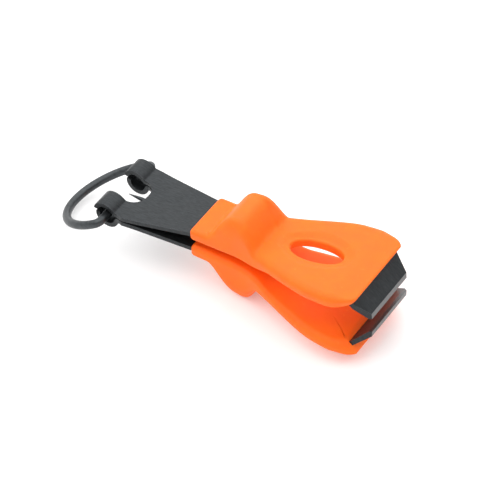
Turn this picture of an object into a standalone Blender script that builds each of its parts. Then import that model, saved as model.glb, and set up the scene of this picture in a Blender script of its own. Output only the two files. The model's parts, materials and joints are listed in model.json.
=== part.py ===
"""A fishing-line nipper: two sprung steel leaves in rubber grips, jaws in front, a wire ring behind.

The design is drawn in millimetres about the mid plane between the two leaves, with x from the
rear eye to the jaws, y across and z up. stand() puts that drawing on the ground at its origin.
The lower half is the upper half turned over, except for its eye.
"""

import math

import bmesh
import bpy
from mathutils import Vector

MM = 0.001

# Leaves
LEAF_THICK = 0.85
WELD_END = 6.8  # the leaves lie close together behind here, and spread in front of it
WELD_SLOPE = 0.03
LEAF_SLOPE = 0.10
WELD_HALF_GAP = 0.19  # from the mid plane to each leaf's inner face at WELD_END
LEAF_REAR_HALF = 7.05
LEAF_TAPER = 0.159
LEAF_WAIST_HALF = 3.95
CREASE_X = 3.3

# Jaws
TIP_X = 56.0
JAW_BEND_X = 52.4
JAW_HALF_GAP = 1.57
JAW_FACET = 1.2  # height of the facet ground on the front of each jaw
JAW_FACET_LEAN = 0.08
JAW_LAND = 0.55  # width of the flat ground on each cutting edge
JAW_ROOT_HALF = 7.35
JAW_TIP_HALF = 5.75
JAW_BEND_RADIUS = 1.3
LEAF_FLARE_RUN = 30, 49  # the leaf widens from its waist to the jaw between these stations

# Rear eye
EYE_AXIS = (1.35, -0.6)
EYE_SHIFT_Y = 0.3  # the eyes are rolled this far off the leaves' centre line
EYE_HALF = 6.65
NOTCH_HALF = 3.0
NOTCH_CENTRE_X = 3.0
UPPER_EYE_CENTRE = (1.4, -0.55)
UPPER_EYE_LONG = 2.8
UPPER_EYE_SHORT = 2.35
UPPER_EYE_TILT = math.radians(-40)
UPPER_EYE_FROM, UPPER_EYE_TO = math.radians(207), math.radians(86)
LOWER_EYE_CENTRE = (1.55, 0.75)
LOWER_EYE_RADIUS = 2.35
LOWER_EYE_FROM, LOWER_EYE_TO = math.radians(192), math.radians(20)
LOWER_CREASE_RADIUS = 0.75
UPPER_CREASE_RADIUS = 0.55

# Grips
GRIP_REAR, GRIP_FRONT = 18.2, 53.1
GRIP_COVER = 0.75  # rubber over the outer face of the leaf
GRIP_WAIST_COVER = 0.45  # added at the hump and in front of it, over the waist run
GRIP_FLARE_COVER = 0.3  # added towards the jaws, over the flare cover run
WAIST_RUN, FLARE_COVER_RUN = (22, 30), (36, 46)
HUMP_X, HUMP_HEIGHT = 27.25, 5.03
HUMP_REAR = 5.7, 2.5, 2.2  # reach, fullness and softness of the hump's rear flank
HUMP_FRONT = 5.1, 2.8, 1.8
FRONT_DIP, DIP_FROM = 0.3, 49  # the outer face falls this much towards the jaw
FRONT_LEAN, LEAN_FROM = 0.6, 49.5  # the front face leans out like this, square to the jaw
LEAN_ROOT_DEPTH = 0.4  # it leans about a line this far under the leaf's outer face
GRIP_INNER_COVER = 0.62
GRIP_REAR_INNER = 0.62  # height of the inner face over the mid plane at the rear
GRIP_INNER_RISE = 0.03
INNER_RUN = 30.5, 36.5  # the inner face leaves the mid plane and joins the leaf's between these
GRIP_REAR_HALF = 5.1
GRIP_FLARE_HALF = 9.4
GRIP_FRONT_SPREAD = 0.4  # added to the half width between the hole and the front corners
FLARE_RUN, SPREAD_RUN = (27, 46), (40, 49)
FRONT_CORNER_FROM = 48.6  # the front corners' arcs start here and run into the front face
FRONT_CORNER_LONG, FRONT_CORNER_WIDE = 4.9, 3.8
GRIP_END_ROUND = 0.5  # rounding of the rear and front ends
# Outer edges' rounding, inwards and downwards: at the rear end, what's added over the first
# run, what the hump adds, and what's taken off over the second run
EDGE_INSET, EDGE_DROP = (0.5, 1.0, 0.6, 0.9), (0.55, 0.75, 2.3, 0.7)
EDGE_REAR_RUN, EDGE_FRONT_RUN = (18.2, 26), (50, 52.6)
LOW_EDGE, LOW_EDGE_FLARE = 0.95, 0.55  # rounding beside the inner face, and what the flare adds
LOW_EDGE_RUN = 33, 44
FIT_GAP = 0.15  # clearance of each grip round its leaf
PRISM_HALF = 14  # half the depth of every prism that is later cut to its outline
HOLE_X, HOLE_LONG, HOLE_WIDE = 41.45, 5.2, 2.5
HOLE_LINING = 0.55  # thickness of the rubber that lines the hole in the leaf

# Ring
WIRE_RADIUS = 0.8
RING_REACH = 13.6
RING_LONG, RING_HALF = 11.07, 8.88
RING_END_Y = 4.9
RING_BEND = 1.2
RING_PITCH = math.radians(31.5)  # it hangs down behind the eyes at this angle

# Needle
NEEDLE_RADIUS = 0.38
NEEDLE_TIP_X, NEEDLE_CONE_X, NEEDLE_END_X = 1.7, 4.6, 9.6
NEEDLE_Z = -0.6
NEEDLE_SLOT_HALF = 0.55
NEEDLE_SLOT_END = 9.8


def smoothstep(low, high, value):
    t = min(1.0, max(0.0, (value - low) / (high - low)))
    return t * t * (3 - 2 * t)


def leaf_inner(x):
    """Height of a leaf's inner face over the mid plane."""
    slope = WELD_SLOPE if x < WELD_END else LEAF_SLOPE
    return WELD_HALF_GAP + slope * (x - WELD_END)


def leaf_outer(x):
    return leaf_inner(x) + LEAF_THICK


def hump(x):
    """Share of the finger hump's height at x."""
    reach, fullness, softness = HUMP_REAR if x < HUMP_X else HUMP_FRONT
    t = min(1.0, abs(x - HUMP_X) / reach)
    return (1 - t**fullness) ** softness


def grip_outer(x):
    """Height of a grip's outer face over the mid plane."""
    cover = GRIP_COVER + GRIP_WAIST_COVER * smoothstep(*WAIST_RUN, x)
    cover += GRIP_FLARE_COVER * smoothstep(*FLARE_COVER_RUN, x)
    dip = FRONT_DIP * smoothstep(DIP_FROM, GRIP_FRONT, x)
    return leaf_outer(x) + cover - dip + HUMP_HEIGHT * hump(x)


def grip_inner(x):
    """Height of a grip's inner face over the mid plane."""
    rear = GRIP_REAR_INNER + GRIP_INNER_RISE * (x - GRIP_REAR)
    front = leaf_inner(x) - GRIP_INNER_COVER
    return rear + (front - rear) * smoothstep(*INNER_RUN, x)


def grip_half(x):
    """Half of a grip's width."""
    flare = (GRIP_FLARE_HALF - GRIP_REAR_HALF) * smoothstep(*FLARE_RUN, x)
    flare += GRIP_FRONT_SPREAD * smoothstep(*SPREAD_RUN, x)
    past = max(0.0, x - FRONT_CORNER_FROM) / FRONT_CORNER_LONG
    return GRIP_REAR_HALF + flare - FRONT_CORNER_WIDE * (1 - math.sqrt(1 - past**2))


def outer_edge(x):
    """How far in, and how far down, the outer face's edges are rounded: most on the hump."""
    behind, front = smoothstep(*EDGE_REAR_RUN, x), smoothstep(*EDGE_FRONT_RUN, x)
    shares = (1, behind, hump(x), -front)
    inset = sum(share * size for share, size in zip(shares, EDGE_INSET))
    drop = sum(share * size for share, size in zip(shares, EDGE_DROP))
    return inset, drop


def lean(x, z):
    """x moved so that the front face of a grip stands square to the jaw."""
    root = leaf_outer(JAW_BEND_X) - LEAN_ROOT_DEPTH
    return x + FRONT_LEAN * smoothstep(LEAN_FROM, GRIP_FRONT, x) * (z - root)


def leaf_half(x):
    """Half of a leaf's width in front of the eye."""
    taper = LEAF_REAR_HALF - LEAF_TAPER * (x - CREASE_X)
    rear = max(taper, LEAF_WAIST_HALF)
    return rear + (JAW_ROOT_HALF - LEAF_WAIST_HALF) * smoothstep(*LEAF_FLARE_RUN, x)


GROUND = -max(grip_outer(HUMP_X + step * 0.02) for step in range(50))
RING_REAR_X = EYE_AXIS[0] - RING_REACH * math.cos(RING_PITCH) - WIRE_RADIUS
MIDDLE_X = (RING_REAR_X + TIP_X) / 2


def stand(x, y, z):
    """A point of the drawing in the part's own frame: metres, standing on the ground."""
    return Vector(((x - MIDDLE_X) * MM, y * MM, (z - GROUND) * MM))


def fillet(before, corner, after, radius, steps=6):
    """Points of an arc of this radius tangent to both lines of a corner."""
    before, corner, after = Vector(before), Vector(corner), Vector(after)
    to_before, to_after = (before - corner).normalized(), (after - corner).normalized()
    half = to_before.angle(to_after) / 2
    centre = corner + (to_before + to_after).normalized() * radius / math.sin(half)
    start = corner + to_before * radius / math.tan(half) - centre
    end = corner + to_after * radius / math.tan(half) - centre
    turn = start.angle_signed(end)
    points = []
    for step in range(steps + 1):
        angle = -turn * step / steps
        cos, sin = math.cos(angle), math.sin(angle)
        spoke = Vector((start.x * cos - start.y * sin, start.x * sin + start.y * cos))
        points.append(centre + spoke)
    return points


def offset(path, distance):
    """The path moved sideways, to its left where the distance is positive."""
    moved = []
    for i, point in enumerate(path):
        along = path[min(i + 1, len(path) - 1)] - path[max(i - 1, 0)]
        moved.append(point + Vector((-along.y, along.x)).normalized() * distance)
    return moved


def upper_eye():
    """Middle line of the upper leaf from its free end over the eye to the crease."""
    centre = Vector(UPPER_EYE_CENTRE)
    long_way = Vector((math.cos(UPPER_EYE_TILT), math.sin(UPPER_EYE_TILT)))
    short_way = Vector((-long_way.y, long_way.x))
    steps = 16
    path = []
    for step in range(steps + 1):
        angle = UPPER_EYE_FROM + (UPPER_EYE_TO - UPPER_EYE_FROM) * step / steps
        long_part = long_way * (UPPER_EYE_LONG - LEAF_THICK / 2) * math.cos(angle)
        short_part = short_way * (UPPER_EYE_SHORT - LEAF_THICK / 2) * math.sin(angle)
        path.append(centre + long_part + short_part)
    middle = leaf_inner(CREASE_X) + LEAF_THICK / 2
    down = (path[-1] - path[-2]).normalized()
    foot = path[-1] + down * (path[-1].y - middle) / -down.y
    return path + fillet(path[-1], foot, (WELD_END, middle), UPPER_CREASE_RADIUS)


def lower_eye():
    """Middle line of the lower leaf, turned over like the rest of the lower half."""
    centre = Vector(LOWER_EYE_CENTRE)
    radius = LOWER_EYE_RADIUS - LEAF_THICK / 2
    steps = 16
    path = []
    for step in range(steps + 1):
        angle = LOWER_EYE_FROM + (LOWER_EYE_TO - LOWER_EYE_FROM) * step / steps
        path.append(centre + Vector((math.cos(angle), math.sin(angle))) * radius)
    middle = leaf_inner(CREASE_X) + LEAF_THICK / 2
    down = (path[-1] - path[-2]).normalized()
    foot = path[-1] + down * (path[-1].y - middle) / -down.y
    return path + fillet(path[-1], foot, (WELD_END, middle), LOWER_CREASE_RADIUS)


def straight_leaf(*stations):
    """Middle line of a leaf where it's flat."""
    return [Vector((x, leaf_inner(x) + LEAF_THICK / 2)) for x in stations]


def leaf_section(path, grow=0.0):
    """Outline of a leaf seen from the side, along a middle line, round the jaw and back."""
    middle = LEAF_THICK / 2
    outer = offset(path, middle + grow)
    inner = offset(path, -middle - grow)
    bend = Vector((JAW_BEND_X, leaf_outer(JAW_BEND_X)))
    facet_foot = Vector((TIP_X, JAW_HALF_GAP))
    facet_top = facet_foot + Vector((-JAW_FACET_LEAN, JAW_FACET))
    land = facet_foot - Vector((JAW_LAND, 0))
    flat = Vector((1.0, LEAF_SLOPE)).normalized()
    slope = (facet_top - bend).normalized()
    inwards = Vector((flat.y + slope.y, -flat.x - slope.x))
    inner_bend = bend + inwards * LEAF_THICK / (1 + flat.dot(slope))
    flat_up, slope_up = Vector((-flat.y, flat.x)) * grow, Vector((-slope.y, slope.x)) * grow
    outer += fillet(outer[-1], bend + flat_up, facet_top + slope_up, JAW_BEND_RADIUS)
    inner += fillet(inner[-1], inner_bend - flat_up, land - slope_up, JAW_BEND_RADIUS / 2)
    return outer + [facet_top + slope_up, facet_foot, land - slope_up] + inner[::-1]


def leaf_plan(grow=0.0):
    """Outline of a leaf seen from above, without its notch."""
    near, far = -EYE_HALF + EYE_SHIFT_Y - grow, EYE_HALF + EYE_SHIFT_Y + grow
    shoulder = CREASE_X + 1.6
    stations = [shoulder + (JAW_BEND_X - shoulder) * step / 24 for step in range(25)]
    side = [(x, leaf_half(x) + grow) for x in stations]
    side += [(JAW_BEND_X + 0.6, JAW_ROOT_HALF + grow), (TIP_X + 0.5, JAW_TIP_HALF + grow - 0.25)]
    rear = -4.0
    left = [(rear, far), (CREASE_X, far)] + side
    right = [(rear, near), (CREASE_X, near)] + [(x, -y) for x, y in side]
    return left + right[::-1]


def oval_arc(centre, half_long, half_wide, first, last, steps, fullness=2.4):
    """Points of a full oval between two angles."""
    points = []
    for step in range(steps + 1):
        angle = first + (last - first) * step / steps
        cos, sin = math.cos(angle), math.sin(angle)
        x = math.copysign(abs(cos) ** (2 / fullness), cos) * half_long
        y = math.copysign(abs(sin) ** (2 / fullness), sin) * half_wide
        points.append((centre[0] + x, centre[1] + y))
    return points


def hole_plan(grow=0.0):
    turn = 2 * math.pi
    return oval_arc((HOLE_X, 0), HOLE_LONG + grow, HOLE_WIDE + grow, 0, turn, 40)[:-1]


def notch_plan():
    """Outline of the notch between the two eyes, round at its front end."""
    centre = (NOTCH_CENTRE_X, EYE_SHIFT_Y)
    arc = oval_arc(centre, NOTCH_HALF, NOTCH_HALF, -math.pi / 2, math.pi / 2, 16)
    rear = -5.0
    return [(rear, arc[0][1])] + arc + [(rear, arc[-1][1])]


def new_collection(name):
    made = bpy.data.collections.new(name)
    bpy.context.scene.collection.children.link(made)
    return made


def material(name, colour, roughness, metallic):
    made = bpy.data.materials.new(name)
    made.use_nodes = True
    shader = made.node_tree.nodes["Principled BSDF"]
    shader.inputs["Base Color"].default_value = (*colour, 1)
    shader.inputs["Roughness"].default_value = roughness
    shader.inputs["Metallic"].default_value = metallic
    return made


def spline_curve(name, points, cyclic):
    curve = bpy.data.curves.new(name, "CURVE")
    spline = curve.splines.new("POLY")
    spline.points.add(len(points) - 1)
    for target, point in zip(spline.points, points):
        target.co = (*point, 1)
    spline.use_cyclic_u = cyclic
    return curve


def mesh_object(name, curve, collection):
    """The curve as a closed mesh object, so that Booleans can use it."""
    guide = bpy.data.objects.new(name + "_curve", curve)
    bpy.context.scene.collection.objects.link(guide)
    graph = bpy.context.evaluated_depsgraph_get()
    mesh = bpy.data.meshes.new_from_object(guide.evaluated_get(graph))
    bpy.data.objects.remove(guide)
    made = bpy.data.objects.new(name, mesh)
    collection.objects.link(made)
    work = bmesh.new()
    work.from_mesh(mesh)
    bmesh.ops.remove_doubles(work, verts=work.verts, dist=1e-7)
    bmesh.ops.recalc_face_normals(work, faces=work.faces)
    work.to_mesh(mesh)
    work.free()
    return made


def flat_prism(name, outline, collection, half_depth, to_frame):
    """A closed 2D outline in millimetres extruded both ways, then turned into the part's frame."""
    curve = spline_curve(name, [(u * MM, v * MM, 0) for u, v in outline], True)
    curve.dimensions = "2D"
    curve.fill_mode = "BOTH"
    curve.extrude = half_depth * MM
    made = mesh_object(name, curve, collection)
    for vertex in made.data.vertices:
        u, v, w = (value / MM for value in vertex.co)
        vertex.co = to_frame(u, v, w)
    work = bmesh.new()
    work.from_mesh(made.data)
    bmesh.ops.recalc_face_normals(work, faces=work.faces)
    work.to_mesh(made.data)
    work.free()
    return made


def side_prism(name, outline, collection, half_width, turned_over):
    sign = -1 if turned_over else 1
    return flat_prism(name, outline, collection, half_width, lambda u, v, w: stand(u, w, sign * v))


def plan_prism(name, outline, collection):
    return flat_prism(name, outline, collection, PRISM_HALF, stand)


def hide_cutter(cutter):
    cutter.hide_render = True
    cutter.display_type = "WIRE"


def cut(target, cutter, operation="DIFFERENCE"):
    step = target.modifiers.new(operation.title() + "_" + cutter.name, "BOOLEAN")
    step.operation = operation
    step.object = cutter


def finish_object(made, look, smooth_angle=35):
    made.data.materials.clear()
    made.data.materials.append(look)
    made.data.shade_smooth()
    made.data.set_sharp_from_angle(angle=math.radians(smooth_angle))


def make_leaf(name, turned_over, parts, cutters, shared, look):
    eye = lower_eye() if turned_over else upper_eye()
    eye += straight_leaf(WELD_END, WELD_END + 1)
    leaf = side_prism(name, leaf_section(eye), parts, PRISM_HALF, turned_over)
    cut(leaf, shared["plan"], "INTERSECT")
    cut(leaf, shared["notch"])
    cut(leaf, shared["leaf_hole"])
    if turned_over:
        cut(leaf, shared["slot"])
    finish_object(leaf, look)
    flat = straight_leaf(GRIP_REAR - 2, GRIP_REAR - 1)
    outline = leaf_section(flat, FIT_GAP)
    room = side_prism(name + "_room", outline, cutters, PRISM_HALF, turned_over)
    cut(room, shared["wide_plan"], "INTERSECT")
    cut(room, shared["lining"])
    hide_cutter(room)
    return leaf, room


def grip_section(x, turned_over, steps=5):
    """One cross-section of a grip: a rectangle with round edges, all sections point for point."""
    half, low, high = grip_half(x), grip_inner(x), grip_outer(x)
    to_end = max(0.0, min(x - GRIP_REAR, GRIP_FRONT - x))
    if to_end < GRIP_END_ROUND:
        pull = GRIP_END_ROUND - math.sqrt(GRIP_END_ROUND**2 - (GRIP_END_ROUND - to_end) ** 2)
        half, low, high = half - pull, low + 0.4 * pull, high - pull
    inset, drop = outer_edge(x)
    edge = LOW_EDGE + LOW_EDGE_FLARE * smoothstep(*LOW_EDGE_RUN, x)
    fit = min(1.0, 0.95 * (high - low) / (drop + edge))
    drop, edge = drop * fit, edge * fit
    section = []
    for side, level, wide, tall, start in (
        (1, high - drop, inset, drop, 0),
        (-1, high - drop, inset, drop, 90),
        (-1, low + edge, edge, edge, 180),
        (1, low + edge, edge, edge, 270),
    ):
        for step in range(steps + 1):
            angle = math.radians(start + 90 * step / steps)
            y = side * (half - wide) + wide * math.cos(angle)
            z = level + tall * math.sin(angle)
            section.append(stand(lean(x, z), y, -z if turned_over else z))
    return section


def make_grip(name, turned_over, parts, room, hole, look):
    """A rubber grip lofted from its rear edge to the jaws, with room inside for its leaf."""
    ends = [0.0, 0.05, 0.15, 0.3, GRIP_END_ROUND]
    length = GRIP_FRONT - GRIP_REAR
    inner = [1.0 + (length - 2.0) * step / 44 for step in range(45)]
    stations = ends + inner + [length - end for end in ends[::-1]]
    work = bmesh.new()
    rings = []
    for station in stations:
        rings.append([work.verts.new(p) for p in grip_section(GRIP_REAR + station, turned_over)])
    count = len(rings[0])
    for first, second in zip(rings, rings[1:]):
        for i in range(count):
            j = (i + 1) % count
            work.faces.new((first[i], first[j], second[j], second[i]))
    work.faces.new(rings[0])
    work.faces.new(rings[-1])
    bmesh.ops.recalc_face_normals(work, faces=work.faces)
    mesh = bpy.data.meshes.new(name)
    work.to_mesh(mesh)
    work.free()
    grip = bpy.data.objects.new(name, mesh)
    parts.objects.link(grip)
    cut(grip, room)
    cut(grip, hole)
    finish_object(grip, look, 50)
    return grip


def ring_path():
    """Middle line of the wire from inside one eye round to inside the other."""
    centre = RING_REACH - RING_LONG
    opens = math.acos(-centre / RING_LONG)
    steps = 40
    bow = []
    for step in range(steps + 1):
        angle = opens * (1 - 2 * step / steps)
        bow.append((centre + RING_LONG * math.cos(angle), RING_HALF * math.sin(angle)))
    corner, after = Vector((0.0, bow[0][1])), Vector(bow[3])
    turn = fillet((0.0, RING_END_Y), corner, after, RING_BEND)
    side = [(0.0, RING_END_Y)] + [tuple(point) for point in turn]
    flat = side + bow[3:-3] + [(back, -y) for back, y in side[::-1]]
    path = []
    for back, y in flat:
        x = EYE_AXIS[0] - back * math.cos(RING_PITCH)
        z = EYE_AXIS[1] - back * math.sin(RING_PITCH)
        path.append(stand(x, y, z))
    return path


def make_ring(parts, look):
    curve = spline_curve("ring", ring_path(), False)
    curve.dimensions = "3D"
    curve.bevel_depth = WIRE_RADIUS * MM
    curve.bevel_resolution = 3
    curve.use_fill_caps = True
    ring = mesh_object("ring", curve, parts)
    finish_object(ring, look, 60)
    axis = stand(EYE_AXIS[0], 0, EYE_AXIS[1])
    for vertex in ring.data.vertices:
        vertex.co -= axis
    ring.location = axis
    return ring


def make_needle(parts, look):
    """A sharpened pin for clearing hook eyes, lying in a slot of the lower leaf."""
    work = bmesh.new()
    sections = (
        (NEEDLE_TIP_X, 0.06),
        (NEEDLE_CONE_X, NEEDLE_RADIUS),
        (NEEDLE_END_X, NEEDLE_RADIUS),
    )
    sides = 16
    rings = []
    for x, radius in sections:
        ring = []
        for step in range(sides):
            angle = 2 * math.pi * step / sides
            y = EYE_SHIFT_Y + radius * math.cos(angle)
            ring.append(work.verts.new(stand(x, y, NEEDLE_Z + radius * math.sin(angle))))
        rings.append(ring)
    for first, second in zip(rings, rings[1:]):
        for i in range(sides):
            j = (i + 1) % sides
            work.faces.new((first[i], first[j], second[j], second[i]))
    work.faces.new(rings[0])
    work.faces.new(rings[-1])
    bmesh.ops.recalc_face_normals(work, faces=work.faces)
    mesh = bpy.data.meshes.new("eye_needle")
    work.to_mesh(mesh)
    work.free()
    needle = bpy.data.objects.new("eye_needle", mesh)
    parts.objects.link(needle)
    finish_object(needle, look)
    return needle


def main():
    for old in list(bpy.data.objects):
        bpy.data.objects.remove(old)
    parts = new_collection("line_nipper")
    cutters = new_collection("line_nipper_cutters")
    black_steel = material("black_steel", (0.055, 0.06, 0.065), 0.45, 0.7)
    wire_steel = material("wire_steel", (0.045, 0.05, 0.05), 0.4, 0.7)
    needle_steel = material("needle_steel", (0.12, 0.12, 0.12), 0.35, 0.8)
    orange_rubber = material("orange_rubber", (1.0, 0.22, 0.03), 0.55, 0.0)

    slot = [
        (NOTCH_CENTRE_X, EYE_SHIFT_Y - NEEDLE_SLOT_HALF),
        (NEEDLE_SLOT_END, EYE_SHIFT_Y - NEEDLE_SLOT_HALF),
        (NEEDLE_SLOT_END, EYE_SHIFT_Y + NEEDLE_SLOT_HALF),
        (NOTCH_CENTRE_X, EYE_SHIFT_Y + NEEDLE_SLOT_HALF),
    ]
    shared = {
        "plan": plan_prism("leaf_plan", leaf_plan(), cutters),
        "wide_plan": plan_prism("leaf_plan_wide", leaf_plan(FIT_GAP), cutters),
        "notch": plan_prism("eye_notch", notch_plan(), cutters),
        "hole": plan_prism("grip_hole", hole_plan(), cutters),
        "lining": plan_prism("hole_lining", hole_plan(HOLE_LINING), cutters),
        "leaf_hole": plan_prism("leaf_hole", hole_plan(HOLE_LINING + FIT_GAP), cutters),
        "slot": plan_prism("needle_slot", slot, cutters),
    }
    for cutter in shared.values():
        hide_cutter(cutter)

    for side, turned_over in (("upper", False), ("lower", True)):
        leaf = side + "_leaf"
        _, room = make_leaf(leaf, turned_over, parts, cutters, shared, black_steel)
        make_grip(side + "_grip", turned_over, parts, room, shared["hole"], orange_rubber)
    make_ring(parts, wire_steel)
    make_needle(parts, needle_steel)


main()
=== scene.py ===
"""The looks of a fishing-line nipper: black spring steel, orange rubber grips and a wire ring.

Sizes are in millimetres in the nipper's own drawing: x from the rear eyes to the jaws, y across,
z up from the mid plane between the leaves. place() turns them into metres in the row frame, from
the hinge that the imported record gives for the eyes. The lower half is the upper one turned over,
apart from its eye.
"""

import json
import math

import bmesh
import bpy
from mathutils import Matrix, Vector


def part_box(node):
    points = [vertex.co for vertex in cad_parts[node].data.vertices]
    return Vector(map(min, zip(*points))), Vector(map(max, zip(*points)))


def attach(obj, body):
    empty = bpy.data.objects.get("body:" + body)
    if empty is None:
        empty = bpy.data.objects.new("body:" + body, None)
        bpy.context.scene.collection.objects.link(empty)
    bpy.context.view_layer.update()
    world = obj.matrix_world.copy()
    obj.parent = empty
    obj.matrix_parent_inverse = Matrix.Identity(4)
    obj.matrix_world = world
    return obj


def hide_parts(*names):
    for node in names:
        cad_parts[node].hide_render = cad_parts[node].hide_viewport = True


MM = 0.001

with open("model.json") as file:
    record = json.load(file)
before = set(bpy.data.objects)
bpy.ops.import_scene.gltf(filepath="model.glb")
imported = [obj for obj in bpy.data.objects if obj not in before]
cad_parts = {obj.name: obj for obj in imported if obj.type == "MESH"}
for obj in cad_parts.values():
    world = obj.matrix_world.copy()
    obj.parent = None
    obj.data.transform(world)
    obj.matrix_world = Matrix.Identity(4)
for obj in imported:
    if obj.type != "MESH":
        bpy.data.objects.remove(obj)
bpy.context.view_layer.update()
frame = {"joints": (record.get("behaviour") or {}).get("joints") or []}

# The eyes' axis in the drawing, and in the row frame
EYE_AXIS = (1.35, -0.6)
HINGE = Vector(frame["joints"][0]["pos_m"])

# Leaves
LEAF_THICK = 0.85
WELD_END = 6.8  # the leaves lie close together behind here, and spread in front of it
WELD_BEND = 2.0  # the bend at the weld's end reaches this far each way
WELD_BEND_STEPS = 12
WELD_SLOPE = 0.03
LEAF_SLOPE = 0.10
WELD_HALF_GAP = 0.19  # from the mid plane to each leaf's inner face at WELD_END
LEAF_REAR_HALF = 7.05
LEAF_TAPER = 0.159
LEAF_WAIST_HALF = 3.95
CREASE_X = 3.3
SHOULDER_RUN = 1.6  # the plan passes from the eyes' width to the leaf's over this length
LEAF_SIDE_STEPS = 60
PLAN_REAR, NOTCH_REAR = -4, -5  # behind the eyes, so that the cuts for plan and notch clear them

# Jaws
TIP_X = 56.0
JAW_BEND_X = 52.4
JAW_HALF_GAP = 1.57
JAW_FACET = 1.2  # height of the facet ground on the front of each jaw
JAW_FACET_LEAN = 0.08
JAW_LAND = 0.55  # width of the flat ground on each cutting edge
JAW_ROOT_HALF = 7.35
JAW_TIP_HALF = 5.75
JAW_BEND_RADIUS = 1.3
JAW_TAPER_AHEAD = 0.6  # the jaw starts to narrow this far in front of its bend
PAST_TIP, PAST_TIP_NARROWING = 0.5, 0.25  # the plan runs on past the tip, and narrows this much
LAND_MARGIN, LAND_LEVEL = 0.1, 0.2  # a ground face lies this near the land, along x and z
FACING = 0.9  # and this cosine says that it faces forwards, or towards the other jaw
LEAF_FLARE_RUN = 30, 49  # the leaf widens from its waist to the jaw between these stations
EDGE_BREAK = 0.09  # width of the broken, worn edge round each leaf
EDGE_BREAK_ANGLE = math.radians(38)

# Rear eye
EYE_SHIFT_Y = 0.3  # the eyes are rolled this far off the leaves' centre line
EYE_HALF = 6.65
NOTCH_HALF = 3.0
NOTCH_CENTRE_X = 3.0
UPPER_EYE_CENTRE = (1.4, -0.55)
UPPER_EYE_LONG = 2.8
UPPER_EYE_SHORT = 2.35
UPPER_EYE_TILT = math.radians(-40)
UPPER_EYE_FROM, UPPER_EYE_TO = math.radians(207), math.radians(86)
LOWER_EYE_CENTRE = (1.55, 0.75)
LOWER_EYE_RADIUS = 2.35
LOWER_EYE_FROM, LOWER_EYE_TO = math.radians(192), math.radians(20)
LOWER_CREASE_RADIUS = 0.75
UPPER_CREASE_RADIUS = 0.55
EYE_STEPS = 40
NOTCH_FULLNESS = 2.4
NOTCH_STEPS = 32

# Grips
GRIP_REAR, GRIP_FRONT = 18.2, 53.1
GRIP_COVER = 0.75  # rubber over the outer face of the leaf
GRIP_WAIST_COVER = 0.45  # added at the hump and in front of it, over the waist run
GRIP_FLARE_COVER = 0.3  # added towards the jaws, over the flare cover run
WAIST_RUN, FLARE_COVER_RUN = (22, 30), (36, 46)
HUMP_X, HUMP_HEIGHT = 27.25, 5.03
HUMP_REAR = 5.7, 2.5, 2.2  # reach, fullness and softness of the hump's rear flank
HUMP_FRONT = 5.1, 2.8, 1.8
GRIP_INNER_COVER = 0.62
GRIP_REAR_INNER = 0.62
GRIP_INNER_RISE = 0.03
INNER_RUN = 30.5, 36.5  # the inner face leaves the mid plane and joins the leaf's between these
GRIP_REAR_HALF = 5.1
GRIP_FLARE_HALF = 9.4
GRIP_FRONT_SPREAD = 0.4  # added to the half width between the hole and the front corners
FLARE_RUN, SPREAD_RUN = (27, 46), (40, 49)
REAR_CORNER = 0.8
FRONT_CORNER_FROM = 48.6  # the front corners' arcs start here and run into the front face
FRONT_CORNER_LONG, FRONT_CORNER_WIDE = 4.9, 3.8
FRONT_DIP, DIP_FROM = 0.3, 49  # the outer face falls this much towards the jaw
FRONT_LEAN, LEAN_FROM = 0.6, 49.5  # the front face leans out like this, square to the jaw
LEAN_ROOT_DEPTH = 0.4  # it leans about a line this far under the leaf's outer face
# How far in the outer edge is rounded: from REAR_INSET at the rear end it grows by
# REAR_INSET_GROWTH to the hump's top, and from there it's FRONT_INSET, plus HUMP_INSET times the
# hump's share, less FRONT_INSET_LOSS over the front run
REAR_INSET, REAR_INSET_GROWTH = 0.5, 1.35
FRONT_INSET, HUMP_INSET, FRONT_INSET_LOSS = 1.5, 0.35, 0.9
# How far down it's rounded: at the rear end, what's added over the rear run, what the hump adds,
# and what's taken off over the front run
REAR_DROP, BEHIND_DROP, HUMP_DROP, FRONT_DROP_LOSS = 0.55, 0.75, 2.3, 0.7
EDGE_REAR_RUN, EDGE_FRONT_RUN = (GRIP_REAR, 26), (50, GRIP_FRONT - 0.5)
HOLE_X, HOLE_LONG, HOLE_WIDE = 41.45, 5.2, 2.35
HOLE_FULLNESS = 2.1  # 2 would be an ellipse, and more is squarer
HOLE_RIM = 0.45  # rounding of the hole's edge on the outer face
HOLE_DISH, HOLE_DISH_REACH = 0.45, 2.0  # the outer face sinks this much towards the hole
HOLE_LIP, HOLE_LIP_DEEP = 1.3, 1.1  # and on the inner face, out from the hole and into it
LOW_EDGE, LOW_EDGE_FLARE = 0.95, 0.55  # rounding beside the inner face, and what the flare adds
LOW_EDGE_RUN = 33, 44
LEAF_HOLE_GROWTH = 0.7  # the rubber lines the hole, so the steel stops this far outside it
LEAF_HOLE_STEPS = 64
GRIP_PLAN_STEPS = 360  # points round a grip's plan
GRIP_SIDE_STEPS = 90  # and along each of its sides before they are evened out
GRIP_CORNER_STEPS = 16
GRIP_ACROSS = 44  # points from the hole to the outer edge, on each face
GRIP_ROUND_STEPS = 8  # and round each edge

# Ring and needle
WIRE_RADIUS = 0.8
RING_REACH = 13.6
RING_LONG, RING_HALF = 11.07, 8.88
RING_END_Y = 4.9
RING_BEND = 1.2
RING_BOW_STEPS = 140
RING_BOW_SKIP = 8  # points of the bow that each bend takes the place of
RING_BEND_STEPS = 14
RING_END_POINTS, RING_END_STEP = 6, 0.5  # points along each straight end, and their spacing
WIRE_CHAMFER = 0.12
WIRE_SIDES, NEEDLE_SIDES = 28, 24
NEEDLE_RADIUS = 0.38
NEEDLE_TIP_X, NEEDLE_CONE_X, NEEDLE_END_X = 1.7, 4.6, 9.6
NEEDLE_Z = -0.6

PRISM_HALF = 14  # half the depth of every prism that is later cut to its outline

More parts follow.
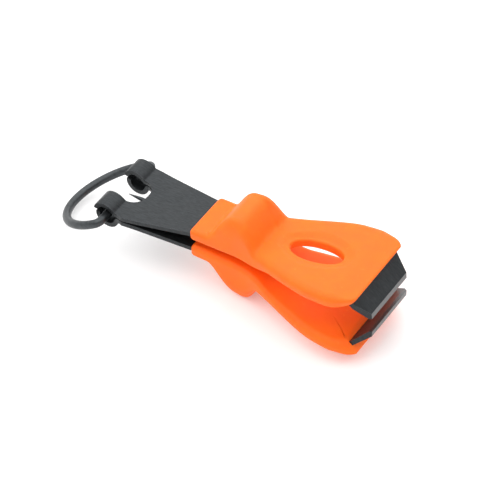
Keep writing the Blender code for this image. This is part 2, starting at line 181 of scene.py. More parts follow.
# Material slots of a leaf: the coated steel is slot 0
GROUND_SLOT, WORN_SLOT = 1, 2

# Colours, linear
RUBBER_DEEP, RUBBER_LIGHT = (0.98, 0.138, 0.002), (1.0, 0.155, 0.004)
RUBBER_SCUFFED = (1.0, 0.175, 0.01)
STEEL_TINT = 0.92, 1, 1.06

STEEL_SCUFF_GAIN = 2.2  # scuffs on steel are this many times its lightest grey
ROUGHER, SMOOTHER = 0.07, 0.06  # how far a steel's roughness strays each way

# Steel looks: darkest and lightest grey, roughness, and how the streaks are squeezed on each axis
COATED_STEEL = 0.03, 0.05, 0.42, (1, 5, 1)
WIRE_STEEL = 0.048, 0.08, 0.38, (1, 1, 4)
NEEDLE_STEEL = 0.035, 0.08, 0.34, (1, 6, 1)
WORN_STEEL = 0.07, 0.22, 0.36, (1, 1, 1)

# Stage, in metres: the floor's front edge lies behind the camera, and its far part curves up
FLOOR_HALF_WIDTH = 2.4
FLOOR_FRONT, FLOOR_CURVE_FROM, FLOOR_CURVE = -1.2, 0.8, 0.9
FLOOR_CURVE_STEPS = 16
FLOOR_GLOW = 0.2
KEY_PLACE, KEY_SIZE, KEY_POWER = (-0.25, 0.15, 0.9), 2.4, 26.0
WORLD_STRENGTH = 0.72

# Camera: it looks at this x on the mid plane, from this far off in the drawing's millimetres
LOOK_AT_X = 28
CAMERA_DISTANCE = 549.48
CAMERA_AZIMUTH, CAMERA_ELEVATION = math.radians(34.36), math.radians(44.79)
CAMERA_ROLL = math.radians(-2.5)
CAMERA_LENS, CAMERA_SENSOR = 226.3, 36
CAMERA_SHIFT = -0.0038, -0.0088


def place(x, y, z):
    """A point of the drawing in the row frame, in metres."""
    return HINGE + Vector((x - EYE_AXIS[0], y, z - EYE_AXIS[1])) * MM


def smoothstep(low, high, value):
    """0 below low, 1 above high, and a smooth rise between them."""
    t = min(1.0, max(0.0, (value - low) / (high - low)))
    return t * t * (3 - 2 * t)


# ---------------------------------------------------------------- shapes shared by both halves


def leaf_inner(x):
    """Height of a leaf's inner face: nearly level at the weld, then opening in a gentle bend."""
    ahead = min(max(0.0, x - WELD_END + WELD_BEND), 2 * WELD_BEND)
    opened = ahead * ahead / (4 * WELD_BEND) + max(0.0, x - WELD_END - WELD_BEND)
    return WELD_HALF_GAP + WELD_SLOPE * (x - WELD_END) + (LEAF_SLOPE - WELD_SLOPE) * opened


def leaf_outer(x):
    """Height of a leaf's outer face."""
    return leaf_inner(x) + LEAF_THICK


def hump(x):
    """Share of the hump's height at x."""
    reach, fullness, softness = HUMP_REAR if x < HUMP_X else HUMP_FRONT
    t = min(1.0, abs(x - HUMP_X) / reach)
    return (1 - t**fullness) ** softness


def grip_outer(x):
    """Height of a grip's outer face."""
    cover = GRIP_COVER + GRIP_WAIST_COVER * smoothstep(*WAIST_RUN, x)
    cover += GRIP_FLARE_COVER * smoothstep(*FLARE_COVER_RUN, x)
    dip = FRONT_DIP * smoothstep(DIP_FROM, GRIP_FRONT, x)
    return leaf_outer(x) + cover - dip + HUMP_HEIGHT * hump(x)


def grip_inner(x):
    """Height of a grip's inner face."""
    rear = GRIP_REAR_INNER + GRIP_INNER_RISE * (x - GRIP_REAR)
    front = leaf_inner(x) - GRIP_INNER_COVER
    return rear + (front - rear) * smoothstep(*INNER_RUN, x)


def grip_half(x):
    """Half of a grip's width, leaving out its rounded corners."""
    half = GRIP_REAR_HALF + (GRIP_FLARE_HALF - GRIP_REAR_HALF) * smoothstep(*FLARE_RUN, x)
    return half + GRIP_FRONT_SPREAD * smoothstep(*SPREAD_RUN, x)


def leaf_half(x):
    """Half of a leaf's width."""
    taper = LEAF_REAR_HALF - LEAF_TAPER * (x - CREASE_X)
    rear = max(taper, LEAF_WAIST_HALF)
    return rear + (JAW_ROOT_HALF - LEAF_WAIST_HALF) * smoothstep(*LEAF_FLARE_RUN, x)


# ---------------------------------------------------------------- mesh helpers


def linked(work, name):
    """The bmesh as an object of the scene."""
    mesh = bpy.data.meshes.new(name)
    work.to_mesh(mesh)
    work.free()
    made = bpy.data.objects.new(name, mesh)
    bpy.context.scene.collection.objects.link(made)
    return made


def piece_from(work, name, body, node):
    """The bmesh as a piece that rides on a CAD body and stands for a CAD node."""
    made = linked(work, name)
    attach(made, body)
    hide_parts(node)
    return made


def fillet(before, corner, after, radius, steps=8):
    """Points of an arc of this radius tangent to both lines of a corner."""
    before, corner, after = Vector(before), Vector(corner), Vector(after)
    to_before, to_after = (before - corner).normalized(), (after - corner).normalized()
    half = to_before.angle(to_after) / 2
    centre = corner + (to_before + to_after).normalized() * radius / math.sin(half)
    start = corner + to_before * radius / math.tan(half) - centre
    end = corner + to_after * radius / math.tan(half) - centre
    turn = start.angle_signed(end)
    points = []
    for step in range(steps + 1):
        angle = -turn * step / steps
        cos, sin = math.cos(angle), math.sin(angle)
        spoke = Vector((start.x * cos - start.y * sin, start.x * sin + start.y * cos))
        points.append(centre + spoke)
    return points


def offset(path, distance):
    """The open path moved this far to its left."""
    moved = []
    for i, point in enumerate(path):
        along = path[min(i + 1, len(path) - 1)] - path[max(i - 1, 0)]
        moved.append(point + Vector((-along.y, along.x)).normalized() * distance)
    return moved


def resample(points, count):
    """Points evenly spaced along a closed outline."""
    lengths = [0.0]
    closed = points + [points[0]]
    for first, second in zip(closed, closed[1:]):
        lengths.append(lengths[-1] + (second - first).length)
    even = []
    segment = 0
    for step in range(count):
        wanted = lengths[-1] * step / count
        while lengths[segment + 1] < wanted:
            segment += 1
        share = (wanted - lengths[segment]) / (lengths[segment + 1] - lengths[segment])
        even.append(closed[segment].lerp(closed[segment + 1], share))
    return even


def outward(points):
    """Unit normals of a closed outline that runs anticlockwise."""
    normals = []
    count = len(points)
    for i in range(count):
        along = points[(i + 1) % count] - points[i - 1]
        normals.append(Vector((along.y, -along.x)).normalized())
    return normals


# ---------------------------------------------------------------- rubber grips


def grip_outline():
    """Plan of a grip, anticlockwise, with its corners rounded."""
    near, far = [], []
    first, last = GRIP_REAR + REAR_CORNER, FRONT_CORNER_FROM
    for step in range(GRIP_SIDE_STEPS + 1):
        x = first + (last - first) * step / GRIP_SIDE_STEPS
        near.append(Vector((x, -grip_half(x))))
        far.append(Vector((x, grip_half(x))))
    rear_half, front_half = grip_half(GRIP_REAR), grip_half(GRIP_FRONT)
    corners = []
    cut = math.degrees(math.acos((GRIP_FRONT - last) / FRONT_CORNER_LONG))
    front_y, rear_y = front_half - FRONT_CORNER_WIDE, rear_half - REAR_CORNER
    for x, y, long_way, wide_way, start, end in (
        (last, -front_y, FRONT_CORNER_LONG, FRONT_CORNER_WIDE, -90, -cut),
        (last, front_y, FRONT_CORNER_LONG, FRONT_CORNER_WIDE, cut, 90),
        (first, rear_y, REAR_CORNER, REAR_CORNER, 90, 180),
        (first, -rear_y, REAR_CORNER, REAR_CORNER, 180, 270),
    ):
        corner = []
        for step in range(GRIP_CORNER_STEPS + 1):
            angle = math.radians(start + (end - start) * step / GRIP_CORNER_STEPS)
            corner.append(Vector((x + long_way * math.cos(angle), y + wide_way * math.sin(angle))))
        corners.append(corner)
    front_edge = [Vector((GRIP_FRONT, front_half * share)) for share in (-0.6, -0.3, 0, 0.3, 0.6)]
    rear_edge = [Vector((GRIP_REAR, rear_half * share)) for share in (0.5, 0, -0.5)]
    outline = near + corners[0] + front_edge + corners[1] + far[::-1] + corners[2]
    return resample(outline + rear_edge + corners[3], GRIP_PLAN_STEPS)


def edge_rounding(x):
    """How far in, and how far down, the outer face's edge is rounded: most on the hump."""
    behind, front = smoothstep(*EDGE_REAR_RUN, x), smoothstep(*EDGE_FRONT_RUN, x)
    if x < HUMP_X:
        inset = REAR_INSET + REAR_INSET_GROWTH * (x - GRIP_REAR) / (HUMP_X - GRIP_REAR)
    else:
        inset = FRONT_INSET + HUMP_INSET * hump(x) - FRONT_INSET_LOSS * front
    drop = REAR_DROP + BEHIND_DROP * behind + HUMP_DROP * hump(x) - FRONT_DROP_LOSS * front
    return inset, drop


def rounded(part, fullness):
    """A cosine or sine bent so that its curve is fuller than an ellipse."""
    return math.copysign(abs(part) ** (2 / fullness), part)


def hole_edge(angle, grow):
    """A point of the hole's outline, or of one this much wider all round."""
    x = rounded(math.cos(angle), HOLE_FULLNESS) * (HOLE_LONG + grow)
    y = rounded(math.sin(angle), HOLE_FULLNESS) * (HOLE_WIDE + grow)
    return Vector((HOLE_X + x, y))


def grip_loop(edge, normal):
    """One cross-section of a grip, from the hole's lip over the outer face and back inside."""
    spoke = edge - Vector((HOLE_X, 0))
    angle = math.atan2(spoke.y / HOLE_WIDE, spoke.x / HOLE_LONG)
    loop = []
    top, drop = edge_rounding(edge.x)
    low = LOW_EDGE + LOW_EDGE_FLARE * smoothstep(*LOW_EDGE_RUN, edge.x)
    start = hole_edge(angle, HOLE_RIM)
    end = edge - normal * top
    for step in range(GRIP_ACROSS):
        point = start.lerp(end, step / GRIP_ACROSS)
        dish = HOLE_DISH * (1 - smoothstep(0, HOLE_DISH_REACH, (point - start).length))
        loop.append((point, grip_outer(point.x) - dish))
    for step in range(GRIP_ROUND_STEPS + 1):
        turn = math.pi / 2 * step / GRIP_ROUND_STEPS
        point = edge - normal * top * (1 - math.sin(turn))
        loop.append((point, grip_outer(point.x) - drop * (1 - math.cos(turn))))
    upper_z, lower_z = loop[-1][1], grip_inner(edge.x) + low
    for step in (1, 2, 3):
        loop.append((edge, upper_z + (lower_z - upper_z) * step / 4))
    for step in range(GRIP_ROUND_STEPS + 1):
        turn = math.pi / 2 * step / GRIP_ROUND_STEPS
        point = edge - normal * low * (1 - math.cos(turn))
        loop.append((point, grip_inner(point.x) + low * (1 - math.sin(turn))))
    end = edge - normal * low
    inner_start = hole_edge(angle, HOLE_LIP)
    for step in range(1, GRIP_ACROSS):
        point = end.lerp(inner_start, step / GRIP_ACROSS)
        loop.append((point, grip_inner(point.x)))
    for step in range(GRIP_ROUND_STEPS + 1):
        turn = math.pi / 2 * step / GRIP_ROUND_STEPS
        point = hole_edge(angle, HOLE_LIP * (1 - math.sin(turn)))
        loop.append((point, grip_inner(point.x) + HOLE_LIP_DEEP * (1 - math.cos(turn))))
    for step in range(GRIP_ROUND_STEPS):
        turn = math.pi / 2 * step / GRIP_ROUND_STEPS
        point = hole_edge(angle, HOLE_RIM * (1 - math.cos(turn)))
        loop.append((point, grip_outer(point.x) - HOLE_DISH - HOLE_RIM * (1 - math.sin(turn))))
    return loop


def lean(x, z):
    """x moved so that the front face of a grip stands square to the jaw."""
    root = leaf_outer(JAW_BEND_X) - LEAN_ROOT_DEPTH
    return x + FRONT_LEAN * smoothstep(LEAN_FROM, GRIP_FRONT, x) * (z - root)


def make_grip(side, sign):
    """A grip made of loops round its cross-sections, one for each point of its plan."""
    work = bmesh.new()
    outline = grip_outline()
    rings = []
    for edge, normal in zip(outline, outward(outline)):
        loop = grip_loop(edge, normal)
        rings.append([work.verts.new(place(lean(p.x, z), p.y, sign * z)) for p, z in loop])
    count = len(rings[0])
    for i, ring in enumerate(rings):
        following = rings[(i + 1) % len(rings)]
        for j in range(count):
            k = (j + 1) % count
            work.faces.new((ring[j], ring[k], following[k], following[j]))
    bmesh.ops.recalc_face_normals(work, faces=work.faces)
    grip = piece_from(work, side + "_grip_rubber", side + "_half", side + "_grip")
    grip.data.shade_smooth()
    return grip


# ---------------------------------------------------------------- steel leaves


def eye_path(points, crease_radius):
    """The rolled eye's middle line, led down to the flat leaf through a fillet."""
    middle = leaf_inner(CREASE_X) + LEAF_THICK / 2
    down = (points[-1] - points[-2]).normalized()
    foot = points[-1] + down * (points[-1].y - middle) / -down.y
    ahead = (CREASE_X + 1, leaf_inner(CREASE_X + 1) + LEAF_THICK / 2)
    return points + fillet(points[-1], foot, ahead, crease_radius)


def upper_eye():
    """Middle line of the upper leaf's eye, a leaning ellipse, from its end to the flat leaf."""
    centre = Vector(UPPER_EYE_CENTRE)
    long_way = Vector((math.cos(UPPER_EYE_TILT), math.sin(UPPER_EYE_TILT)))
    short_way = Vector((-long_way.y, long_way.x))
    points = []
    for step in range(EYE_STEPS + 1):
        angle = UPPER_EYE_FROM + (UPPER_EYE_TO - UPPER_EYE_FROM) * step / EYE_STEPS
        long_part = long_way * (UPPER_EYE_LONG - LEAF_THICK / 2) * math.cos(angle)
        short_part = short_way * (UPPER_EYE_SHORT - LEAF_THICK / 2) * math.sin(angle)
        points.append(centre + long_part + short_part)
    return eye_path(points, UPPER_CREASE_RADIUS)


def lower_eye():
    """Middle line of the lower leaf's eye, a circle, from its end to the flat leaf."""
    centre = Vector(LOWER_EYE_CENTRE)
    radius = LOWER_EYE_RADIUS - LEAF_THICK / 2
    points = []
    for step in range(EYE_STEPS + 1):
        angle = LOWER_EYE_FROM + (LOWER_EYE_TO - LOWER_EYE_FROM) * step / EYE_STEPS
        points.append(centre + Vector((math.cos(angle), math.sin(angle))) * radius)
    return eye_path(points, LOWER_CREASE_RADIUS)


def leaf_section(eye):
    """Outline of a leaf seen from the side: its outer face, round the jaw, its inner face back."""
    middle = LEAF_THICK / 2
    bend_start = WELD_END - WELD_BEND
    steps = range(WELD_BEND_STEPS + 1)
    stations = [bend_start + 2 * WELD_BEND * step / WELD_BEND_STEPS for step in steps]
    stations.append(WELD_END + 2 * WELD_BEND)
    path = eye + [Vector((x, leaf_inner(x) + middle)) for x in stations]
    outer, inner = offset(path, middle), offset(path, -middle)
    bend = Vector((JAW_BEND_X, leaf_outer(JAW_BEND_X)))
    facet_foot = Vector((TIP_X, JAW_HALF_GAP))
    facet_top = facet_foot + Vector((-JAW_FACET_LEAN, JAW_FACET))
    land = facet_foot - Vector((JAW_LAND, 0))
    flat = Vector((1.0, LEAF_SLOPE)).normalized()
    slope = (facet_top - bend).normalized()
    inwards = Vector((flat.y + slope.y, -flat.x - slope.x))
    inner_bend = bend + inwards * LEAF_THICK / (1 + flat.dot(slope))
    outer += fillet(outer[-1], bend, facet_top, JAW_BEND_RADIUS)
    inner += fillet(inner[-1], inner_bend, land, JAW_BEND_RADIUS / 2)
    return outer + [facet_top, facet_foot, land] + inner[::-1]


def leaf_plan():
    """Outline of a leaf seen from above, with its jaw narrowing to the tip."""
    near, far = EYE_SHIFT_Y - EYE_HALF, EYE_SHIFT_Y + EYE_HALF
    shoulder = CREASE_X + SHOULDER_RUN
    length = JAW_BEND_X - shoulder
    stations = [shoulder + length * step / LEAF_SIDE_STEPS for step in range(LEAF_SIDE_STEPS + 1)]
    side = [(x, leaf_half(x)) for x in stations]
    side.append((JAW_BEND_X + JAW_TAPER_AHEAD, JAW_ROOT_HALF))
    side.append((TIP_X + PAST_TIP, JAW_TIP_HALF - PAST_TIP_NARROWING))
    left = [(PLAN_REAR, far), (CREASE_X, far)] + side
    right = [(PLAN_REAR, near), (CREASE_X, near)] + [(x, -y) for x, y in side]
    return left + right[::-1]


def notch_plan():
    """Outline of the notch between the two rolled eyes, open to the rear."""
    arc = []
    for step in range(NOTCH_STEPS + 1):
        angle = math.pi * (step / NOTCH_STEPS - 0.5)
        x = NOTCH_CENTRE_X + rounded(math.cos(angle), NOTCH_FULLNESS) * NOTCH_HALF
        y = EYE_SHIFT_Y + rounded(math.sin(angle), NOTCH_FULLNESS) * NOTCH_HALF
        arc.append((x, y))
    return [(NOTCH_REAR, arc[0][1])] + arc + [(NOTCH_REAR, arc[-1][1])]


def prism(name, outline, to_frame):
    """A closed outline of the drawing extruded both ways, as a closed mesh object."""
    work = bmesh.new()
    ends = []
    for depth in (-PRISM_HALF, PRISM_HALF):
        ends.append([work.verts.new(to_frame(u, v, depth)) for u, v in outline])
    count = len(outline)
    for i in range(count):
        j = (i + 1) % count
        work.faces.new((ends[0][i], ends[0][j], ends[1][j], ends[1][i]))
    work.faces.new(ends[0])
    work.faces.new(ends[1])
    bmesh.ops.recalc_face_normals(work, faces=work.faces)
    return linked(work, name)


def make_leaf(side, sign, looks):
    """A leaf cut from its side view by its plan, with its sharp edges broken and worn."""
    eye = upper_eye() if sign > 0 else lower_eye()
    section = leaf_section(eye)
    solid = prism(side, section, lambda u, v, w: place(u, w, sign * v))
    for look in looks:
        solid.data.materials.append(look)
    turns = [2 * math.pi * step / LEAF_HOLE_STEPS for step in range(LEAF_HOLE_STEPS)]
    hole = [hole_edge(turn, LEAF_HOLE_GROWTH) for turn in turns]
    cutters = [
        prism("plan", leaf_plan(), place),
        prism("notch", notch_plan(), place),
        prism("hole", hole, place),
    ]
    for cutter, operation in zip(cutters, ("INTERSECT", "DIFFERENCE", "DIFFERENCE")):
        step = solid.modifiers.new(operation, "BOOLEAN")
        step.operation = operation
        step.object = cutter
    bevel = solid.modifiers.new("broken_edges", "BEVEL")
    bevel.width = EDGE_BREAK * MM
    bevel.segments = 2
    bevel.limit_method = "ANGLE"
    bevel.angle_limit = EDGE_BREAK_ANGLE
    bevel.material = WORN_SLOT
    graph = bpy.context.evaluated_depsgraph_get()
    work = bmesh.new()
    work.from_object(solid, graph)
    for helper in [solid] + cutters:
        bpy.data.objects.remove(helper)
    leaf = piece_from(work, side + "_leaf_steel", side + "_half", side + "_leaf")
    for look in looks:
        leaf.data.materials.append(look)
    leaf.data.shade_smooth()
    leaf.data.set_sharp_from_angle(angle=math.radians(30))
    shading = leaf.modifiers.new("flat_faces", "WEIGHTED_NORMAL")
    shading.weight = 100
    shading.keep_sharp = True
    return leaf


# ---------------------------------------------------------------- ring and needle


def ring_path():
    """Middle line of the wire, as (distance behind the eyes' axis, y)."""
    centre = RING_REACH - RING_LONG
    opens = math.acos(-centre / RING_LONG)
    bow = []
    for step in range(RING_BOW_STEPS + 1):
        angle = opens * (1 - 2 * step / RING_BOW_STEPS)
        bow.append((centre + RING_LONG * math.cos(angle), RING_HALF * math.sin(angle)))
    corner_y = bow[0][1]
    bow = bow[RING_BOW_SKIP:-RING_BOW_SKIP]
    turn = fillet((0.0, RING_END_Y), (0.0, corner_y), bow[0], RING_BEND, RING_BEND_STEPS)
    side = [(0.0, RING_END_Y + RING_END_STEP * step) for step in range(RING_END_POINTS)]
    side += [tuple(point) for point in turn]
    return side + bow + [(back, -y) for back, y in side[::-1]]


def sweep(path, radii, sides):
    """A closed tube of changing radius along a path."""
    work = bmesh.new()
    rings = []
    for i, (point, radius) in enumerate(zip(path, radii)):
        along = (path[min(i + 1, len(path) - 1)] - path[max(i - 1, 0)]).normalized()
        side_way = along.cross(Vector((0, 0, 1)))
        if side_way.length < 0.1:
            side_way = along.cross(Vector((0, 1, 0)))
        side_way.normalize()
        up = side_way.cross(along)
        ring = []
        for step in range(sides):
            angle = 2 * math.pi * step / sides
            spoke = side_way * math.cos(angle) + up * math.sin(angle)
            ring.append(work.verts.new(point + spoke * radius * MM))
        rings.append(ring)
    for first, second in zip(rings, rings[1:]):
        for i in range(sides):
            j = (i + 1) % sides
            work.faces.new((first[i], first[j], second[j], second[i]))
    work.faces.new(rings[0])
    work.faces.new(rings[-1])
    bmesh.ops.recalc_face_normals(work, faces=work.faces)
    return work


def make_ring():
    """The bent wire, tilted down behind the eyes as far as the CAD ring is."""
    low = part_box("ring")[0]
    drop = HINGE.z - low.z - WIRE_RADIUS * MM
    pitch = math.asin(drop / (RING_REACH * MM))
    path = []
    for back, y in ring_path():
        x = EYE_AXIS[0] - back * math.cos(pitch)
        path.append(place(x, y, EYE_AXIS[1] - back * math.sin(pitch)))
    start, end = path[0], path[-1]
    chamfer = WIRE_CHAMFER * MM
    path = [start, start + (path[1] - start).normalized() * chamfer] + path[1:-1]
    path += [end + (path[-1] - end).normalized() * chamfer, end]
    tip = [WIRE_RADIUS - WIRE_CHAMFER]
    radii = tip + [WIRE_RADIUS] * (len(path) - 2) + tip
    ring = piece_from(sweep(path, radii, WIRE_SIDES), "ring_wire", "ring", "ring")
    ring.data.shade_smooth()
    ring.data.set_sharp_from_angle(angle=math.radians(35))
    return ring


def make_needle():
    """The pointed pin in the notch between the eyes, from (x, radius) along it."""
    stations = [
        (NEEDLE_TIP_X, 0.03),
        (NEEDLE_TIP_X + 0.1, 0.07),
        (NEEDLE_CONE_X - 0.6, NEEDLE_RADIUS - 0.04),
        (NEEDLE_CONE_X, NEEDLE_RADIUS),
        (NEEDLE_END_X - 0.05, NEEDLE_RADIUS),
        (NEEDLE_END_X, NEEDLE_RADIUS - 0.05),
    ]
    path = [place(x, EYE_SHIFT_Y, NEEDLE_Z) for x, _ in stations]
    work = sweep(path, [radius for _, radius in stations], NEEDLE_SIDES)
    needle = piece_from(work, "needle_pin", "lower_half", "eye_needle")
    needle.data.shade_smooth()
    needle.data.set_sharp_from_angle(angle=math.radians(35))
    return needle


# ---------------------------------------------------------------- materials


class Nodes:
    """Short calls that build one material's node tree."""

    def __init__(self, name):
        self.material = bpy.data.materials.new(name)
        self.material.use_nodes = True
        self.tree = self.material.node_tree
        self.shader = self.tree.nodes["Principled BSDF"]
        place_node = self.tree.nodes.new("ShaderNodeTexCoord")
        self.place = place_node.outputs["Object"]

    def link(self, output, target):
        """Join an output to an input."""
        self.tree.links.new(output, target)

    def noise(self, scale, detail=4, roughness=0.55, stretch=None):
        """A noise texture; scale counts features per metre."""
        source = self.place
        if stretch:
            mapping = self.tree.nodes.new("ShaderNodeMapping")
            mapping.inputs["Scale"].default_value = stretch
            self.link(source, mapping.inputs["Vector"])
            source = mapping.outputs["Vector"]
        texture = self.tree.nodes.new("ShaderNodeTexNoise")
        texture.inputs["Scale"].default_value = scale
        texture.inputs["Detail"].default_value = detail
        texture.inputs["Roughness"].default_value = roughness
        self.link(source, texture.inputs["Vector"])
        return texture.outputs["Fac"]

    def ramp(self, source, *stops):
        """Stops are (position, grey or colour)."""
        node = self.tree.nodes.new("ShaderNodeValToRGB")
        marks = node.color_ramp.elements
        while len(marks) < len(stops):
            marks.new(0.5)
        for mark, (position, value) in zip(marks, stops):
            mark.position = position
            colour = value if isinstance(value, tuple) else (value, value, value)
            mark.color = (*colour, 1)
        self.link(source, node.inputs["Fac"])
        return node.outputs["Color"]

    def mix(self, factor, first, second, blend="MIX"):
        """Each of the three is an output, a number or a colour."""
        node = self.tree.nodes.new("ShaderNodeMix")
        node.data_type = "RGBA"
        node.blend_type = blend
        for source, socket in ((factor, 0), (first, 6), (second, 7)):
            if isinstance(source, (int, float)):
                node.inputs[socket].default_value = source
            elif isinstance(source, tuple):
                node.inputs[socket].default_value = (*source, 1)
            else:
                self.link(source, node.inputs[socket])
        return node.outputs[2]

    def bump(self, *heights):
        """Heights are (source, strength, distance in metres)."""
        before = None
        for source, strength, distance in heights:
            node = self.tree.nodes.new("ShaderNodeBump")
            node.inputs["Strength"].default_value = strength
            node.inputs["Distance"].default_value = distance
            self.link(source, node.inputs["Height"])
            if before:
                self.link(before, node.inputs["Normal"])
            before = node.outputs["Normal"]
        self.link(before, self.shader.inputs["Normal"])


def rubber_look():
    """Matt moulded rubber: soft mottling, a fine grain and small paler scuffs."""
    look = Nodes("orange_rubber_look")
    shader = look.shader
    mottle = look.noise(260, detail=3)
    fine = look.noise(5200, detail=3, roughness=0.6)
    colour = look.ramp(mottle, (0.35, RUBBER_DEEP), (0.68, RUBBER_LIGHT))
    scuffs = look.ramp(look.noise(900, detail=6, roughness=0.7), (0.6, 0.0), (0.7, 0.7))
    scuffed = look.mix(scuffs, colour, RUBBER_SCUFFED)
    look.link(scuffed, shader.inputs["Base Color"])
    look.link(look.ramp(mottle, (0.3, 0.5), (0.7, 0.62)), shader.inputs["Roughness"])
    shader.inputs["Specular IOR Level"].default_value = 0.3
    shader.inputs["Subsurface Weight"].default_value = 0.25
    shader.inputs["Subsurface Radius"].default_value = (0.0012, 0.0003, 0.0001)
    shader.inputs["Subsurface Scale"].default_value = 1.0
    look.bump((fine, 0.25, 0.00003), (mottle, 0.12, 0.00015))
    return look.material


def bluish(grey):
    """A cool steel colour of this lightness."""
    red, green, blue = STEEL_TINT
    return (red * grey, green * grey, blue * grey)


def steel_look(name, dark, light, rough, grain_stretch):
    """Steel, coated or bare as its greys say: bead-blasted grain, drawn streaks and scuffs."""
    look = Nodes(name)
    shader = look.shader
    blast = look.noise(7000, detail=3, roughness=0.6)
    streaks = look.noise(900, roughness=0.6, stretch=grain_stretch)
    cloud = look.noise(180, detail=3)
    base = look.ramp(streaks, (0.3, bluish(dark)), (0.75, bluish(light)))
    clouded = look.mix(0.3, base, look.ramp(cloud, (0.3, 0.0), (0.7, 0.03)), "ADD")
    scuffs = look.ramp(look.noise(1400, detail=6, roughness=0.75), (0.66, 0.0), (0.74, 0.5))
    bright = light * STEEL_SCUFF_GAIN
    scuffed = look.mix(scuffs, clouded, (bright, bright, bright))
    look.link(scuffed, shader.inputs["Base Color"])
    roughness = look.ramp(cloud, (0.3, rough - SMOOTHER), (0.7, rough + ROUGHER))
    look.link(roughness, shader.inputs["Roughness"])
    shader.inputs["Metallic"].default_value = 0.85
    shader.inputs["Specular IOR Level"].default_value = 0.25
    look.bump((blast, 0.35, 0.000015), (streaks, 0.15, 0.00002))
    return look.material


def ground_look():
    """Steel bared by the grinding of the jaws: fine parallel scratches across the edge."""
    look = Nodes("ground_steel_look")
    shader = look.shader
    scratches = look.noise(2500, detail=5, roughness=0.7, stretch=(1, 12, 1))
    look.link(look.ramp(scratches, (0.3, 0.08), (0.75, 0.17)), shader.inputs["Base Color"])
    look.link(look.ramp(scratches, (0.3, 0.28), (0.7, 0.42)), shader.inputs["Roughness"])
    shader.inputs["Metallic"].default_value = 0.9
    look.bump((scratches, 0.2, 0.00001))
    return look.material


def paint_ground_faces(leaf, sign):
    """The front facet and the cutting land are bare metal."""
    tip = place(TIP_X, 0, 0).x
    edge_z = place(0, 0, sign * JAW_HALF_GAP).z
    for face in leaf.data.polygons:
        near_tip = face.center.x > tip - (JAW_LAND + LAND_MARGIN) * MM
        level = abs(face.center.z - edge_z) < LAND_LEVEL * MM
        facet = face.normal.x > FACING
        land = face.normal.z * sign < -FACING and level
        if near_tip and (facet or land):
            face.material_index = GROUND_SLOT


def floor_look():
    """Pale matt paper with the faintest unevenness, lit a little from itself to stay white."""
    look = Nodes("floor_look")
    grain = look.noise(60)
    look.link(look.ramp(grain, (0.3, 0.78), (0.7, 0.8)), look.shader.inputs["Base Color"])
    look.shader.inputs["Roughness"].default_value = 0.7
    look.shader.inputs["Emission Color"].default_value = (1, 1, 1, 1)
    look.shader.inputs["Emission Strength"].default_value = FLOOR_GLOW
    look.bump((grain, 0.05, 0.0001))
    return look.material


# ---------------------------------------------------------------- stage


def make_floor():
    """A sheet of floor that curves up far behind the nipper."""
    work = bmesh.new()
    profile = [(FLOOR_FRONT, 0.0), (FLOOR_CURVE_FROM, 0.0)]
    for step in range(1, FLOOR_CURVE_STEPS + 1):
        angle = math.pi / 2 * step / FLOOR_CURVE_STEPS
        along = FLOOR_CURVE_FROM + FLOOR_CURVE * math.sin(angle)
        profile.append((along, FLOOR_CURVE * (1 - math.cos(angle))))
    rows = []
    sides = (-FLOOR_HALF_WIDTH, FLOOR_HALF_WIDTH)
    for along, height in profile:
        rows.append([work.verts.new((side, along, height)) for side in sides])
    for first, second in zip(rows, rows[1:]):
        work.faces.new((first[0], first[1], second[1], second[0]))
    floor = linked(work, "floor")
    floor.data.shade_smooth()
    floor.data.materials.append(floor_look())


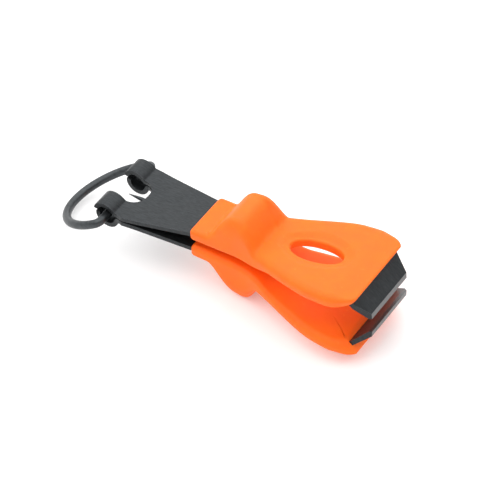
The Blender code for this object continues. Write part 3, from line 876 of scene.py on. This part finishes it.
def make_lights():
    """One wide soft light overhead, and an even white world."""
    data = bpy.data.lights.new("key", "AREA")
    data.shape = "RECTANGLE"
    data.size, data.size_y = KEY_SIZE, KEY_SIZE
    data.energy = KEY_POWER
    key = bpy.data.objects.new("key", data)
    key.location = KEY_PLACE
    towards = place(LOOK_AT_X, 0, 0) - Vector(KEY_PLACE)
    key.rotation_euler = towards.to_track_quat("-Z", "Y").to_euler()
    bpy.context.scene.collection.objects.link(key)
    world = bpy.data.worlds.new("soft_white")
    world.use_nodes = True
    background = world.node_tree.nodes["Background"]
    background.inputs["Color"].default_value = (1, 1, 1, 1)
    background.inputs["Strength"].default_value = WORLD_STRENGTH
    bpy.context.scene.world = world
    bpy.context.scene.view_settings.view_transform = "Standard"


def make_camera():
    """Looks down at the nipper's middle from -y, turned towards its jaws and rolled a little."""
    cos, sin = math.cos(CAMERA_AZIMUTH), math.sin(CAMERA_AZIMUTH)
    level = Vector((cos, sin, 0))
    ahead = Vector((-sin, cos, 0)) * math.cos(CAMERA_ELEVATION)
    ahead += Vector((0, 0, -math.sin(CAMERA_ELEVATION)))
    upright = level.cross(ahead)
    right = level * math.cos(CAMERA_ROLL) + upright * math.sin(CAMERA_ROLL)
    up = upright * math.cos(CAMERA_ROLL) - level * math.sin(CAMERA_ROLL)
    data = bpy.data.cameras.new("camera")
    data.sensor_width = CAMERA_SENSOR
    data.lens = CAMERA_LENS
    data.shift_x, data.shift_y = CAMERA_SHIFT
    data.clip_start, data.clip_end = 0.01, 10
    camera = bpy.data.objects.new("camera", data)
    turn = camera.matrix_world.to_3x3()
    for row in range(3):
        turn[row] = (right[row], up[row], -ahead[row])
    camera.matrix_world = turn.to_4x4()
    camera.location = place(LOOK_AT_X, 0, 0) - ahead * CAMERA_DISTANCE * MM
    bpy.context.scene.collection.objects.link(camera)
    bpy.context.scene.camera = camera


def main():
    rubber = rubber_look()
    coated = steel_look("black_steel_look", *COATED_STEEL)
    wire = steel_look("wire_steel_look", *WIRE_STEEL)
    bare = steel_look("needle_steel_look", *NEEDLE_STEEL)
    ground = ground_look()
    edge = steel_look("worn_edge_look", *WORN_STEEL)
    for side, sign in (("upper", 1), ("lower", -1)):
        make_grip(side, sign).data.materials.append(rubber)
        paint_ground_faces(make_leaf(side, sign, (coated, ground, edge)), sign)
    make_ring().data.materials.append(wire)
    make_needle().data.materials.append(bare)
    make_floor()
    make_lights()
    make_camera()


main()
